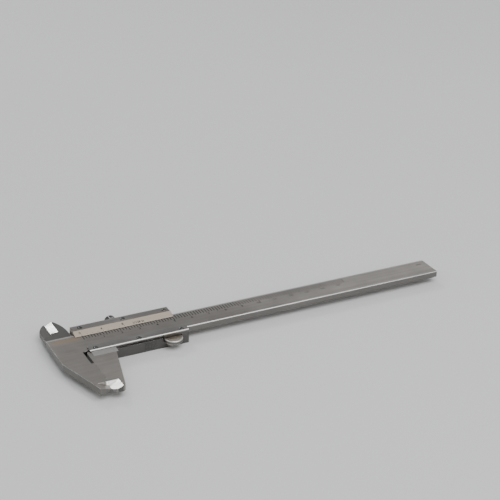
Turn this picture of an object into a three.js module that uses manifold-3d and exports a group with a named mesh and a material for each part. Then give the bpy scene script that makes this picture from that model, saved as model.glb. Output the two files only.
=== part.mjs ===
// Vernier caliper for 150 mm, closed, lying on its back with the scales facing up.
// Millimetres. Working frame: x = 0 is the inner wall of the relief notch beside the outside
// jaws, +X runs to the free end of the beam, y = 0 is the beam's rear edge, -Y runs towards the
// outside jaws' tips, and z = 0 is the beam's scale face. The exported group then moves the
// origin to the middle of the underside.
import * as THREE from "three";
import { mergeVertices } from "three/addons/utils/BufferGeometryUtils.js";
import Module from "manifold-3d";

const wasm = await Module();
wasm.setup();

// ---------------------------------------------------------------- driving dimensions
const beam = {
  width: 16,
  thick: 3.5,
  end: 217,
  bevelWidth: 1.5,
  bevelDrop: 0.25,
  edgeChamfer: 0.35,
};
const head = { left: -13.4, shoulderY: -26, webWidth: 3.4, webY: -18.2, tipX: -4.5, tipY: -55.4 };
const jaws = { contactX: 1.5, tipY: -54.4, notchEndY: -30.6, gap: 0.02 };
const facet = {
  startY: -49.8,
  drop: 1.9,
  fixedX: -4.2,
  movingX: 6.9,
  runOut: 0.5,
  backDrop: 0.9,
  overrun: 0.5,
};
const movingJaw = {
  lowX: 4.4,
  lowY: -56.8,
  tipBlend: 1.6,
  tipRise: 0.2,
  outerX: 8.3,
  outerY: -55.5,
  outerBlend: 1.2,
  rootX: 17,
  cornerDrop: 0.6,
  cornerX: 0.6,
  cornerEnd: 1.2,
};
const jawStep = { length: 4.3, height: 0.5 };
const inside = { lineX: -8, tipY: 18.9, facetWidth: 4, facetDrop: 0.85, facetEndY: 7.4 };
const fixedBlade = {
  topZ: -0.45,
  bottomZ: -1.5,
  rightX: 0.7,
  rootY: -2,
  straightEndY: 3,
  backBendX: 1,
  backBendY: 12,
  tipWidth: 5,
  tipRound: 0.8,
  cornerDrop: 1.8,
  notchY: 5.4,
  notchDepth: 0.8,
  shoulderY: 4.2,
  shoulderX: 0.4,
};
const movingBlade = {
  topZ: -1.6,
  bottomZ: -4.2,
  leftX: -12.6,
  lineStartY: 9,
  tipRise: 0.2,
  tipWidth: 0.6,
  backBendX: 1.1,
  backBendY: 15.8,
  sideEndY: 12.4,
  cornerR: 2.4,
  facetWidth: 3,
  facetDrop: 1.1,
};

const slider = {
  left: 1.6,
  right: 58.2,
  wallLeft: 3.8,
  frontGap: 0.3,
  frontWall: 4,
  rearGap: 0.75,
  rearWallY: 5.6,
  backGap: 0.2,
  backThick: 3.3,
  topZ: 0.15,
};
const finger = { left: 18, right: 44, deep: 1.5, bottomZ: -1.3 };
const rail = { left: 3.3, overhang: 0.6, thick: 0.95, chamfer: 0.3 };
const vernier = { edgeY: -3.1, edgeZ: 0.35, crestY: 0.85, crestZ: 1.75, ledgeZ: 1.2, right: 56.9 };
const cap = { left: 1.7, right: 56.6, gap: 0.1, topZ: 1.8 };
const gib = { left: 4, right: 55, y: 0.1, thick: 0.5, lowZ: -3.2, highZ: -0.8 };

const railScrewX = [7, 30.9, 54.8];
const capScrewX = [6.4, 30.2, 54];
const screw = { headR: 1.35, headZ: 0.75, edge: 0.15, proud: 0.2, shankR: 0.75 };
const screwLength = { rail: 2.8, cap: 3.4, capTap: 3.2, plate: 2.2 };
const slot = { width: 0.4, depth: 0.35, firstTurn: 0.6 };
const setScrew = { x: [14, 44], r: 1, y: 1.4, length: 3.6 };

const lock = { x: 25.6, z: -1.8, shaftR: 1.25, headR: 3.1, headY: 6.3, headLength: 4.7 };
const lockNeck = { r: 2.2, length: 0.7, flare: 0.4, edge: 0.5 };
const pad = { r: 1.1, y: 0.9, length: 1.3, gap: 0.05 };
const roller = { x: 49, r: 5.05, topZ: -1.3, thick: 2.1, edge: 0.3, edgeGap: 0.1, windowGap: 0.3 };
const bore = { r: 1.25, seatR: 2.1, seatDepth: 0.6 };
const axle = { r: 1.15, headR: 1.95, headUnder: 0.1, proud: 0.05 };
const lug = { width: 6.8, reach: 1.9, thick: 1.7, blend: 2.6 };

const rod = { y: -8, width: 2, thick: 1.35, lift: 0.1, side: 0.2, over: 0.15 };
const rodFoot = { x: 49, length: 4, gap: 0.1 };
const rodTip = { length: 5, slope: 1, thickLeft: 1.1 };
const stop = { x: 211, length: 5, y: -14.5, width: 13, thick: 1.1, screwY: [-12.2, -3.8] };
const clampPlate = { x: 44, length: 12.5, width: 7, thick: 1.3, gap: 0.1, screwX: [46.2, 54.9] };
const clampScrewSink = 0.02;
const holeGap = 0.08;
const past = 1; // how far a cutting tool runs past the face that it enters

// ---------------------------------------------------------------- derived places
const frontY = -beam.width;
const backZ = -beam.thick;
const wallBack = frontY - slider.frontGap;
const wallFront = wallBack - slider.frontWall;
const wallMidY = (wallBack + wallFront) / 2;
const plateTop = backZ - slider.backGap;
const plateBottom = plateTop - slider.backThick;
const railTop = slider.topZ + rail.thick;
const capMidY = (vernier.crestY + slider.rearWallY) / 2;
const rollerY = frontY - roller.edgeGap - roller.r;
const rollerBottom = roller.topZ - roller.thick;
const screwSink = screw.headZ - screw.proud;

// ---------------------------------------------------------------- geometry helpers
function outline(points) {
  return new THREE.Shape(points.map(([x, y]) => new THREE.Vector2(x, y)));
}

// A flat plate: an outline in x, y between two heights.
function plate(shape, lowZ, highZ) {
  const flat = Array.isArray(shape) ? outline(shape) : shape;
  const settings = { depth: highZ - lowZ, bevelEnabled: false, curveSegments: 10 };
  return new THREE.ExtrudeGeometry(flat, settings).translate(0, 0, lowZ);
}

function turnedAxes(geometry, ...axes) {
  const columns = axes.map((axis) => new THREE.Vector3(...axis));
  return geometry.applyMatrix4(new THREE.Matrix4().makeBasis(...columns));
}

// A bar along X: an outline in y, z between two x positions.
function barAlongX(points, lowX, highX) {
  return turnedAxes(plate(points, lowX, highX), [0, 1, 0], [0, 0, 1], [1, 0, 0]);
}

// A bar along Y: an outline in z, x between two y positions.
function barAlongY(points, lowY, highY) {
  return turnedAxes(plate(points, lowY, highY), [0, 0, 1], [1, 0, 0], [0, 1, 0]);
}

function block(lowX, highX, lowY, highY, lowZ, highZ) {
  const size = [highX - lowX, highY - lowY, highZ - lowZ];
  const middle = [(lowX + highX) / 2, (lowY + highY) / 2, (lowZ + highZ) / 2];
  return new THREE.BoxGeometry(...size).translate(...middle);
}

// A profile of [radius, height] pairs spun about the Y axis.
function spun(profile, sides) {
  const points = profile.map(([radius, height]) => new THREE.Vector2(radius, height));
  return new THREE.LatheGeometry(points, sides);
}

// The same about the Z axis.
function turned(profile, sides = 20) {
  return spun(profile, sides).rotateX(Math.PI / 2);
}

function cylinder(radius, low, high) {
  return [[0, low], [radius, low], [radius, high], [0, high]];
}

// A hole's tool, standing on Z at x, y.
function drill(x, y, radius, lowZ, highZ, sides = 16) {
  return turned(cylinder(radius, lowZ, highZ), sides).translate(x, y, 0);
}

// A hole's tool through the rear wall, along Y at the lock screw's height.
function rearWallDrill(x, radius, sides) {
  return spun(cylinder(radius, 0, slider.rearWallY + past), sides).translate(x, 0, lock.z);
}

function solid(geometry) {
  const bare = geometry.clone();
  bare.deleteAttribute("normal");
  bare.deleteAttribute("uv");
  const merged = mergeVertices(bare, 1e-4);
  const vertProperties = merged.attributes.position.array;
  const triVerts = new Uint32Array(merged.index.array);
  return new wasm.Manifold(new wasm.Mesh({ numProp: 3, vertProperties, triVerts }));
}

function geometryOf(body) {
  const mesh = body.getMesh();
  const geometry = new THREE.BufferGeometry();
  geometry.setAttribute("position", new THREE.BufferAttribute(mesh.vertProperties, 3));
  geometry.setIndex(new THREE.BufferAttribute(mesh.triVerts, 1));
  geometry.computeVertexNormals();
  return geometry;
}

function join(...geometries) {
  return geometryOf(geometries.map(solid).reduce((whole, piece) => whole.add(piece)));
}

function cut(geometry, ...tools) {
  return geometryOf(tools.map(solid).reduce((whole, tool) => whole.subtract(tool), solid(geometry)));
}

// ---------------------------------------------------------------- materials
function steel(color, roughness) {
  return new THREE.MeshStandardMaterial({ color, roughness, metalness: 1 });
}
const bodySteel = () => steel(0x84827e, 0.42);
const chrome = () => steel(0xb4ab9b, 0.5);
const capSteel = () => steel(0x6f6e6b, 0.45);
const screwSteel = () => steel(0x5c5b5a, 0.35);
const bronze = () => steel(0xa88450, 0.45);

function addPiece(parent, name, geometry, material, position = [0, 0, 0], turn = [0, 0, 0]) {
  const mesh = new THREE.Mesh(geometry, material);
  mesh.name = name;
  mesh.position.set(...position);
  mesh.rotation.set(...turn);
  parent.add(mesh);
}

const caliper = new THREE.Group();
const fixedPart = new THREE.Group();
const slidingPart = new THREE.Group();
caliper.add(fixedPart, slidingPart);

// ---------------------------------------------------------------- beam with the fixed jaws
// Full-thickness outline: bar, web in the inner corner, relief notch, outside jaw, head.
function beamOutline() {
  return outline([
    [beam.end, 0],
    [head.left, 0],
    [head.left, head.shoulderY],
    [head.tipX, head.tipY],
    [jaws.contactX, jaws.tipY],
    [jaws.contactX, jaws.notchEndY],
    [0, jaws.notchEndY],
    [0, head.webY],
    [head.webWidth, head.webY],
    [head.webWidth, frontY],
    [beam.end, frontY],
  ]);
}

// The fixed inside jaw: a thin blade to the right of the measuring line.
function fixedBladeOutline() {
  const { lineX, tipY } = inside;
  const { rightX, rootY, tipWidth, tipRound, notchY, notchDepth, shoulderX, shoulderY } = fixedBlade;
  const tipX = lineX + tipWidth - tipRound;
  const notchEndY = notchY - notchDepth;
  const shape = new THREE.Shape();
  shape.moveTo(rightX, rootY);
  shape.lineTo(rightX, fixedBlade.straightEndY);
  shape.quadraticCurveTo(
    fixedBlade.backBendX,
    fixedBlade.backBendY,
    tipX + tipRound,
    tipY - tipRound / 2,
  );
  shape.quadraticCurveTo(tipX, tipY, tipX - tipRound, tipY - tipRound / 2);
  shape.lineTo(lineX, tipY - fixedBlade.cornerDrop);
  shape.lineTo(lineX, notchY);
  shape.lineTo(lineX - notchDepth, notchEndY);
  shape.lineTo(head.left + shoulderX, notchEndY);
  shape.lineTo(head.left, shoulderY);
  shape.lineTo(head.left, rootY);
  shape.closePath();
  return shape;
}

// A wedge that bevels a face down towards x = edgeX; the face is whole at x = shoulderX. Its end
// at highY runs out at a slope: runOut millimetres for each millimetre of depth.
function facetCutter({ shoulderX, edgeX, faceZ, drop, lowY, highY, runOut = 0 }) {
  const beyond = edgeX + Math.sign(edgeX - shoulderX) * facet.overrun;
  const deeper = (drop * (beyond - shoulderX)) / (edgeX - shoulderX);
  const clear = faceZ + Math.sign(drop) * past;
  const points = [[faceZ, shoulderX], [faceZ - deeper, beyond], [clear, beyond], [clear, shoulderX]];
  const clockwise = THREE.ShapeUtils.isClockWise(outline(points).getPoints());
  const wedge = barAlongY(clockwise ? points.reverse() : points, lowY, highY);
  const place = wedge.attributes.position;
  for (let i = 0; i < place.count; i += 1) {
    const atEnd = Math.abs(place.getY(i) - highY) < 1e-6;
    if (atEnd) place.setY(i, highY + runOut * (place.getZ(i) - faceZ));
  }
  return wedge;
}

// The bevels on a jaw's two faces that thin it towards the measuring edge.
function jawFacets(shoulderX, edgeX, lowY) {
  const common = { shoulderX, edgeX, lowY, highY: facet.startY };
  return [
    facetCutter({ ...common, faceZ: 0, drop: facet.drop, runOut: facet.runOut }),
    facetCutter({ ...common, faceZ: backZ, drop: -facet.backDrop }),
  ];
}

function makeBeam() {
  const bevelSlope = beam.bevelDrop / beam.bevelWidth;
  const rearBevel = [
    [-beam.bevelWidth, 0],
    [past, -bevelSlope * (beam.bevelWidth + past)],
    [past, past],
    [-beam.bevelWidth, past],
  ];
  const chamfer = beam.edgeChamfer;
  const frontChamfer = [
    [frontY - past, -chamfer - past],
    [frontY + chamfer + past, past],
    [frontY - past, past],
  ];
  const halfGroove = rod.width / 2 + rod.side;
  const grooveTop = backZ + rod.lift + rod.thick + rod.over;
  const stopScrewX = stop.x + stop.length / 2;
  const bar = join(
    plate(beamOutline(), backZ, 0),
    plate(fixedBladeOutline(), fixedBlade.bottomZ, fixedBlade.topZ),
  );
  const body = cut(
    bar,
    barAlongX(rearBevel, head.left - past, beam.end + past),
    barAlongX(frontChamfer, head.webWidth, beam.end + past),
    block(
      slider.left,
      beam.end + past,
      rod.y - halfGroove,
      rod.y + halfGroove,
      backZ - past,
      grooveTop,
    ),
    ...jawFacets(facet.fixedX, jaws.contactX, head.tipY - past),
    facetCutter({
      shoulderX: inside.lineX + inside.facetWidth,
      edgeX: inside.lineX,
      faceZ: fixedBlade.topZ,
      drop: inside.facetDrop,
      lowY: inside.facetEndY,
      highY: inside.tipY + past,
    }),
    ...stop.screwY.map((y) =>
      drill(stopScrewX, y, screw.shankR + holeGap, backZ - past, backZ + screwLength.plate),
    ),
  );
  addPiece(fixedPart, "beam", body, bodySteel());
}

// ---------------------------------------------------------------- slider with the moving jaws
function movingJawOutline() {
  const face = jaws.contactX + jaws.gap;
  const { cornerDrop, cornerX, cornerEnd, tipBlend, tipRise, outerBlend } = movingJaw;
  const cornerY = head.webY - cornerDrop;
  const shape = new THREE.Shape();
  shape.moveTo(slider.wallLeft, wallBack);
  shape.lineTo(slider.wallLeft, cornerY);
  shape.lineTo(face + cornerX, cornerY - cornerDrop);
  shape.lineTo(face, cornerY - cornerDrop - cornerEnd);
  shape.lineTo(face, jaws.tipY);
  shape.quadraticCurveTo(
    face + tipBlend,
    movingJaw.lowY + tipRise,
    movingJaw.lowX,
    movingJaw.lowY,
  );
  shape.quadraticCurveTo(
    movingJaw.outerX - outerBlend,
    movingJaw.lowY,
    movingJaw.outerX,
    movingJaw.outerY,
  );
  shape.lineTo(movingJaw.rootX, wallFront);
  shape.lineTo(movingJaw.rootX, wallBack);
  shape.closePath();
  return shape;
}

// The moving inside jaw: a blade to the left of the measuring line, passing under the fixed one.
function movingBladeOutline() {
  const { lineX, tipY } = inside;
  const { leftX, lineStartY, tipWidth, backBendX, backBendY, sideEndY, cornerR } = movingBlade;
  const rootX = slider.wallLeft;
  const shape = new THREE.Shape();
  shape.moveTo(rootX, slider.rearGap);
  shape.lineTo(rootX, slider.rearWallY);
  shape.quadraticCurveTo(lineX, slider.rearWallY, lineX, lineStartY);
  shape.lineTo(lineX, tipY + movingBlade.tipRise);
  shape.lineTo(lineX - tipWidth, tipY);
  shape.quadraticCurveTo(leftX + backBendX, backBendY, leftX, sideEndY);
  shape.lineTo(leftX, slider.rearGap + cornerR);
  shape.quadraticCurveTo(leftX, slider.rearGap, leftX + cornerR, slider.rearGap);
  shape.closePath();
  return shape;
}

// Half-round lug under the thumb roller.
function rollerLugOutline() {
  const half = lug.width / 2;
  const lowY = rollerY - lug.reach;
  const shape = new THREE.Shape();
  shape.moveTo(roller.x + half, wallFront + past);
  shape.lineTo(roller.x - half, wallFront + past);
  shape.lineTo(roller.x - half, wallFront);
  shape.quadraticCurveTo(roller.x - lug.blend, lowY, roller.x, lowY);
  shape.quadraticCurveTo(roller.x + lug.blend, lowY, roller.x + half, wallFront);
  shape.closePath();
  return shape;
}

// Sloping step from the front wall down to the moving jaw's face.
function jawStepBar() {
  const profile = [
    [wallFront - jawStep.length, 0],
    [wallFront - jawStep.length, -past],
    [wallFront, -past],
    [wallFront, jawStep.height],
  ];
  return barAlongX(profile, slider.wallLeft, movingJaw.rootX);
}

// Openings through the slider's back for the depth rod's foot and for its clamp plate.
function rodSeat() {
  const footHalf = rod.width / 2 + rodFoot.gap;
  const plateHalf = clampPlate.width / 2 + clampPlate.gap;
  return [
    block(
      rodFoot.x - rodFoot.gap,
      rodFoot.x + rodFoot.length + rodFoot.gap,
      rod.y - footHalf,
      rod.y + footHalf,
      plateBottom - past,
      plateTop + past,
    ),
    block(
      clampPlate.x - clampPlate.gap,
      clampPlate.x + clampPlate.length + clampPlate.gap,
      rod.y - plateHalf,
      rod.y + plateHalf,
      plateBottom - past,
      plateBottom + clampPlate.thick,
    ),
  ];
}

function makeSliderFrame() {
  const channelBottom = plateTop - past;
  const face = jaws.contactX + jaws.gap;
  const shankHole = screw.shankR + holeGap;
  const tapped = (x, y) => drill(x, y, shankHole, slider.topZ - screwLength.cap, slider.topZ + past);
  const windowLow = rollerBottom - roller.windowGap;
  const windowHigh = roller.topZ + roller.windowGap;
  const bars = join(
    block(slider.left, slider.right, wallFront, slider.rearWallY, plateBottom, plateTop),
    block(slider.wallLeft, slider.right, wallFront, wallBack, channelBottom, slider.topZ),
    block(slider.left, vernier.right, slider.rearGap, slider.rearWallY, channelBottom, slider.topZ),
    plate(movingJawOutline(), backZ, 0),
    jawStepBar(),
    plate(movingBladeOutline(), movingBlade.bottomZ, movingBlade.topZ),
    plate(rollerLugOutline(), plateTop - lug.thick, plateTop),
  );
  const body = cut(
    bars,
    block(
      finger.left,
      finger.right,
      wallFront - past,
      wallFront + finger.deep,
      finger.bottomZ,
      slider.topZ + past,
    ),
    drill(roller.x, rollerY, roller.r + roller.windowGap, windowLow, windowHigh, 40),
    drill(roller.x, rollerY, axle.r + holeGap, plateTop - lug.thick - past, plateTop + past, 24),
    ...railScrewX.map((x) => tapped(x, wallMidY)),
    ...capScrewX.map((x) => tapped(x, capMidY)),
    rearWallDrill(lock.x, lock.shaftR + holeGap, 20),
    ...setScrew.x.map((x) => rearWallDrill(x, setScrew.r + holeGap, 16)),
    ...rodSeat(),
    ...clampPlate.screwX.map((x) => drill(x, rod.y, shankHole, plateBottom, plateTop + past)),
    ...jawFacets(facet.movingX, face, movingJaw.lowY - past),
    facetCutter({
      shoulderX: inside.lineX - movingBlade.facetWidth,
      edgeX: inside.lineX,
      faceZ: movingBlade.bottomZ,
      drop: -movingBlade.facetDrop,
      lowY: inside.facetEndY + 2,
      highY: inside.tipY + past,
    }),
  );
  addPiece(slidingPart, "slider_frame", body, bodySteel());
}

// ---------------------------------------------------------------- plates and strips
// Clearance holes and head seats for a row of screws standing on Z in a strip.
function screwRow(xs, y, lowZ, topZ) {
  return xs.flatMap((x) => [
    drill(x, y, screw.shankR + holeGap, lowZ - past, topZ + past),
    drill(x, y, screw.headR + holeGap, topZ - screwSink, topZ + past),
  ]);
}

function makeRail() {
  const backY = frontY + rail.overhang;
  const profile = [
    [wallFront, slider.topZ],
    [backY, slider.topZ],
    [backY, railTop],
    [wallFront + rail.chamfer, railTop],
    [wallFront, railTop - rail.chamfer],
  ];
  const strip = barAlongX(profile, rail.left, slider.right);
  const body = cut(strip, ...screwRow(railScrewX, wallMidY, slider.topZ, railTop));
  addPiece(slidingPart, "front_rail", body, bodySteel());
}

function makeVernierPlate() {
  const profile = [
    [vernier.edgeY, slider.topZ],
    [slider.rearWallY, slider.topZ],
    [slider.rearWallY, vernier.ledgeZ],
    [vernier.crestY, vernier.ledgeZ],
    [vernier.crestY, vernier.crestZ],
    [vernier.edgeY, vernier.edgeZ],
  ];
  const holes = capScrewX.map((x) => drill(x, capMidY, screw.shankR + holeGap, -past, cap.topZ + past));
  addPiece(
    slidingPart,
    "vernier_plate",
    cut(barAlongX(profile, slider.left, vernier.right), ...holes),
    chrome(),
  );
}

function makeRearCap() {
  const low = vernier.crestY + cap.gap;
  const strip = block(cap.left, cap.right, low, slider.rearWallY, vernier.ledgeZ, cap.topZ);
  const body = cut(strip, ...screwRow(capScrewX, capMidY, vernier.ledgeZ, cap.topZ));
  addPiece(slidingPart, "rear_cap", body, capSteel());
}

function makeGibStrip() {
  const strip = new THREE.BoxGeometry(gib.right - gib.left, gib.thick, gib.highZ - gib.lowZ);
  const middle = [(gib.left + gib.right) / 2, gib.y + gib.thick / 2, (gib.lowZ + gib.highZ) / 2];
  addPiece(slidingPart, "gib_strip", strip, bronze(), middle);
}

// ---------------------------------------------------------------- fasteners
// A slotted cheese-head screw with the underside of its head at z = 0 and its head upwards.
function slottedScrew(length, slotTurn) {
  const profile = [
    [0, -length],
    [screw.shankR, -length],
    [screw.shankR, 0],
    [screw.headR, 0],
    [screw.headR, screw.headZ - screw.edge],
    [screw.headR - screw.edge, screw.headZ],
    [0, screw.headZ],
  ];
  const reach = screw.headR + past;
  const half = slot.width / 2;
  const kerf = block(-reach, reach, -half, half, screw.headZ - slot.depth, screw.headZ + past);
  return cut(turned(profile), kerf.rotateZ(slotTurn));
}

// A row of numbered screws; each slot stops at its own angle. Heads point up, or down if flipped.
function addScrews(parent, stem, places, length, flipped = false) {
  places.forEach((place, i) => {
    const geometry = slottedScrew(length, slot.firstTurn + place[0]);
    const turn = flipped ? [Math.PI, 0, 0] : [0, 0, 0];
    addPiece(parent, `${stem}_${i + 1}`, geometry, screwSteel(), place, turn);
  });
}

function makeScrews() {
  const railPlaces = railScrewX.map((x) => [x, wallMidY, railTop - screwSink]);
  addScrews(slidingPart, "front_rail_screw", railPlaces, screwLength.rail);
  const capPlaces = capScrewX.map((x) => [x, capMidY, cap.topZ - screwSink]);
  addScrews(slidingPart, "rear_cap_screw", capPlaces, screwLength.capTap);
  const stopZ = backZ - stop.thick + screwSink;
  const stopPlaces = stop.screwY.map((y) => [stop.x + stop.length / 2, y, stopZ]);
  addScrews(fixedPart, "end_stop_screw", stopPlaces, screwLength.plate, true);
  const clampZ = plateBottom + screw.headZ + clampScrewSink;
  const clampPlaces = clampPlate.screwX.map((x) => [x, rod.y, clampZ]);
  addScrews(slidingPart, "rod_clamp_screw", clampPlaces, screwLength.plate, true);
}

// Headless screws that press the gib strip against the beam's rear edge.
function makeSetScrews() {
  setScrew.x.forEach((x, i) => {
    const reach = setScrew.r + past;
    const half = slot.width / 2;
    const slotLow = setScrew.length - slot.depth;
    const body = cut(
      spun(cylinder(setScrew.r, 0, setScrew.length), 16),
      block(-reach, reach, slotLow, setScrew.length + past, -half, half),
    );
    addPiece(slidingPart, `gib_set_screw_${i + 1}`, body, screwSteel(), [x, setScrew.y, lock.z]);
  });
}

// ---------------------------------------------------------------- end stop and depth rod
// A flat plate under the mechanism with countersunk screws from below.
function backPlate(lengthX, widthY, thick, screws) {
  const strip = new THREE.BoxGeometry(lengthX, widthY, thick).translate(0, 0, thick / 2);
  const tools = screws.flatMap(([x, y, headDepth]) => [
    drill(x, y, screw.shankR + holeGap, -past, thick + past),
    drill(x, y, screw.headR + holeGap, -past, headDepth),
  ]);
  return cut(strip, ...tools);
}

function makeEndStop() {
  const middleY = stop.y + stop.width / 2;
  const screws = stop.screwY.map((y) => [0, y - middleY, screwSink]);
  const body = backPlate(stop.length, stop.width, stop.thick, screws);
  const place = [stop.x + stop.length / 2, middleY, backZ - stop.thick];
  addPiece(fixedPart, "end_stop", body, bodySteel(), place);
}

function makeDepthRod() {
  const low = -rod.width / 2;
  const high = rod.width / 2;
  const bottom = backZ + rod.lift;
  const top = bottom + rod.thick;
  const footBottom = plateBottom + clampPlate.thick;
  const bar = join(
    block(rodFoot.x, beam.end, low, high, bottom, top),
    block(rodFoot.x, rodFoot.x + rodFoot.length, low, high, footBottom, top),
  );
  // The tip is relieved on one side so that it reaches past a fillet.
  const relief = [
    [beam.end - rodTip.length, low + rodTip.thickLeft],
    [beam.end - rodTip.length + rodTip.slope, low - past],
    [beam.end + past, low - past],
    [beam.end + past, low + rodTip.thickLeft],
  ];
  const body = cut(bar, plate(relief, bottom - past, top + past));
  addPiece(slidingPart, "depth_rod", body, bodySteel(), [0, rod.y, 0]);
}

function makeClampPlate() {
  const middleX = clampPlate.x + clampPlate.length / 2;
  const headDepth = screw.headZ + clampScrewSink;
  const screws = clampPlate.screwX.map((x) => [x - middleX, 0, headDepth]);
  const body = backPlate(clampPlate.length, clampPlate.width, clampPlate.thick, screws);
  addPiece(slidingPart, "rod_clamp_plate", body, bodySteel(), [middleX, rod.y, plateBottom]);
}

// ---------------------------------------------------------------- lock screw, pad, thumb roller
function makeLock() {
  const lockGroup = new THREE.Group();
  lockGroup.position.set(lock.x, 0, lock.z);
  slidingPart.add(lockGroup);
  const shaftStart = pad.y + pad.length + pad.gap;
  const neckEnd = lock.headY + lockNeck.length;
  const headEnd = lock.headY + lock.headLength;
  const profile = [
    [0, shaftStart],
    [lock.shaftR, shaftStart],
    [lock.shaftR, lock.headY],
    [lockNeck.r, lock.headY],
    [lockNeck.r, neckEnd],
    [lock.headR, neckEnd + lockNeck.flare],
    [lock.headR, headEnd - lockNeck.edge],
    [lock.headR - lockNeck.edge, headEnd],
    [0, headEnd],
  ];
  addPiece(lockGroup, "lock_screw", spun(profile, 28), screwSteel());
  const disc = spun(cylinder(pad.r, 0, pad.length), 20);
  addPiece(lockGroup, "clamp_pad", disc, bronze(), [0, pad.y, 0]);
}

function makeThumbRoller() {
  const rollerGroup = new THREE.Group();
  rollerGroup.position.set(roller.x, rollerY, roller.topZ);
  slidingPart.add(rollerGroup);
  const ring = [
    [bore.r, -roller.thick],
    [roller.r - roller.edge, -roller.thick],
    [roller.r, roller.edge - roller.thick],
    [roller.r, -roller.edge],
    [roller.r - roller.edge, 0],
    [bore.seatR, 0],
    [bore.seatR, -bore.seatDepth],
    [bore.r, -bore.seatDepth],
    [bore.r, -roller.thick],
  ];
  addPiece(rollerGroup, "thumb_roller", turned(ring, 48), bodySteel());
  const axleBottom = plateTop - lug.thick - roller.topZ;
  const headUnder = axle.headUnder - bore.seatDepth;
  const pin = [
    [0, axleBottom],
    [axle.r, axleBottom],
    [axle.r, headUnder],
    [axle.headR, headUnder],
    [axle.headR, axle.proud],
    [0, axle.proud],
  ];
  addPiece(rollerGroup, "roller_axle", turned(pin, 24), screwSteel());
}

makeBeam();
makeSliderFrame();
makeRail();
makeVernierPlate();
makeRearCap();
makeGibStrip();
makeScrews();
makeSetScrews();
makeEndStop();
makeDepthRod();
makeClampPlate();
makeLock();
makeThumbRoller();

// The origin goes to the middle of the underside.
const bounds = new THREE.Box3().setFromObject(caliper);
const middle = bounds.getCenter(new THREE.Vector3());
caliper.position.set(-middle.x, -middle.y, -bounds.min.z);

export default caliper;
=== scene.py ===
"""Looks of the vernier caliper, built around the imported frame. Metres, +Z up."""
import math

import bmesh
import bpy
from mathutils import Matrix, Vector


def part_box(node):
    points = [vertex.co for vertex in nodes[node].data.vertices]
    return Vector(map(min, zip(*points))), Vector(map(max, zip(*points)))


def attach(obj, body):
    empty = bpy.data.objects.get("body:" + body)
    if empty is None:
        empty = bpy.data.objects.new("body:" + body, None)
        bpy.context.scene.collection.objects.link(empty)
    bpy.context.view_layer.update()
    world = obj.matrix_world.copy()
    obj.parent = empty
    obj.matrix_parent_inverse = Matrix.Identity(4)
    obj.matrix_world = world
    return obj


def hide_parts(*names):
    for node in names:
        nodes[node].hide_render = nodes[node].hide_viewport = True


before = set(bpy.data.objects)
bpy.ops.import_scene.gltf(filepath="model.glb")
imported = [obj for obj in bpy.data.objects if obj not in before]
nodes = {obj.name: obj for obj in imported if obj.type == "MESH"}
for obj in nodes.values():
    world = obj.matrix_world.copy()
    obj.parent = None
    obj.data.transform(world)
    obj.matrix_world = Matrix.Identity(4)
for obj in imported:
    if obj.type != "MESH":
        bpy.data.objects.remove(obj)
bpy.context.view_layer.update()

MM = 0.001
INCH = 25.4 * MM

# ------------------------------------------------------------------ places read from the frame
beam_low, beam_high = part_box("beam")
plate_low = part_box("vernier_plate")[0]
cap_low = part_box("rear_cap")[0]
rail_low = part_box("front_rail")[0]

FACE_Z = beam_high.z                    # the beam's marked face
CONTACT_X = beam_low.x + 13.4 * MM      # where the jaws meet
REAR_Y = plate_low.y + 3.1 * MM         # the beam's rear edge
FRONT_WALL_Y = rail_low.y               # the slider's front wall
SCALE_ZERO_X = CONTACT_X + 5.4 * MM     # zero of both scales

# ------------------------------------------------------------------ camera and lights
CAMERA_TARGET = Vector((29.4, 71.9, 7.0)) * MM
CAMERA_AZIMUTH = math.radians(27.5)
CAMERA_ELEVATION = math.radians(25.78)
CAMERA_ROLL = math.radians(1.45)
CAMERA_DISTANCE = 785.7 * MM
SENSOR_WIDTH = 36.0
FOCAL_LENGTH = 95.8
CLIP_START = 0.01

# name, azimuth and elevation in degrees, distance, width and height in metres, watts
LIGHTS = (
    ("facet_light", 355, 38, 1.5, 0.35, 0.3, 3.3),
    ("back_panel", 43, 27, 2.0, 0.8, 0.8, 1.6),
    ("overhead", 165, 66, 1.5, 1.5, 1.1, 14),
    ("left_fill", 285, 35, 1.8, 1.0, 1.0, 1.8),
    ("front_fill", 163, 22, 2.0, 1.2, 0.5, 5),
)
WORLD_COLOUR = (0.95, 0.97, 1.0, 1)
WORLD_STRENGTH = 0.42


def make_camera():
    """The photograph's camera, as a pinhole that looks down at the caliper from its front left."""
    flat = math.cos(CAMERA_ELEVATION)
    forward = Vector((
        math.sin(CAMERA_AZIMUTH) * flat,
        math.cos(CAMERA_AZIMUTH) * flat,
        -math.sin(CAMERA_ELEVATION),
    ))
    level_right = Vector((math.cos(CAMERA_AZIMUTH), -math.sin(CAMERA_AZIMUTH), 0))
    level_up = level_right.cross(forward)
    right = level_right * math.cos(CAMERA_ROLL) + level_up * math.sin(CAMERA_ROLL)
    up = right.cross(forward)
    data = bpy.data.cameras.new("camera")
    data.sensor_width = SENSOR_WIDTH
    data.lens = FOCAL_LENGTH
    data.clip_start = CLIP_START
    camera = bpy.data.objects.new("camera", data)
    bpy.context.scene.collection.objects.link(camera)
    turn = Matrix((right, up, -forward)).transposed().to_4x4()
    camera.matrix_world = Matrix.Translation(CAMERA_TARGET - forward * CAMERA_DISTANCE) @ turn
    bpy.context.scene.camera = camera


def direction(azimuth, elevation):
    """Unit vector towards a compass place: azimuth 0 is +Y and 90 is +X, in degrees."""
    a = math.radians(azimuth)
    e = math.radians(elevation)
    return Vector((math.sin(a) * math.cos(e), math.cos(a) * math.cos(e), math.sin(e)))


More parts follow.
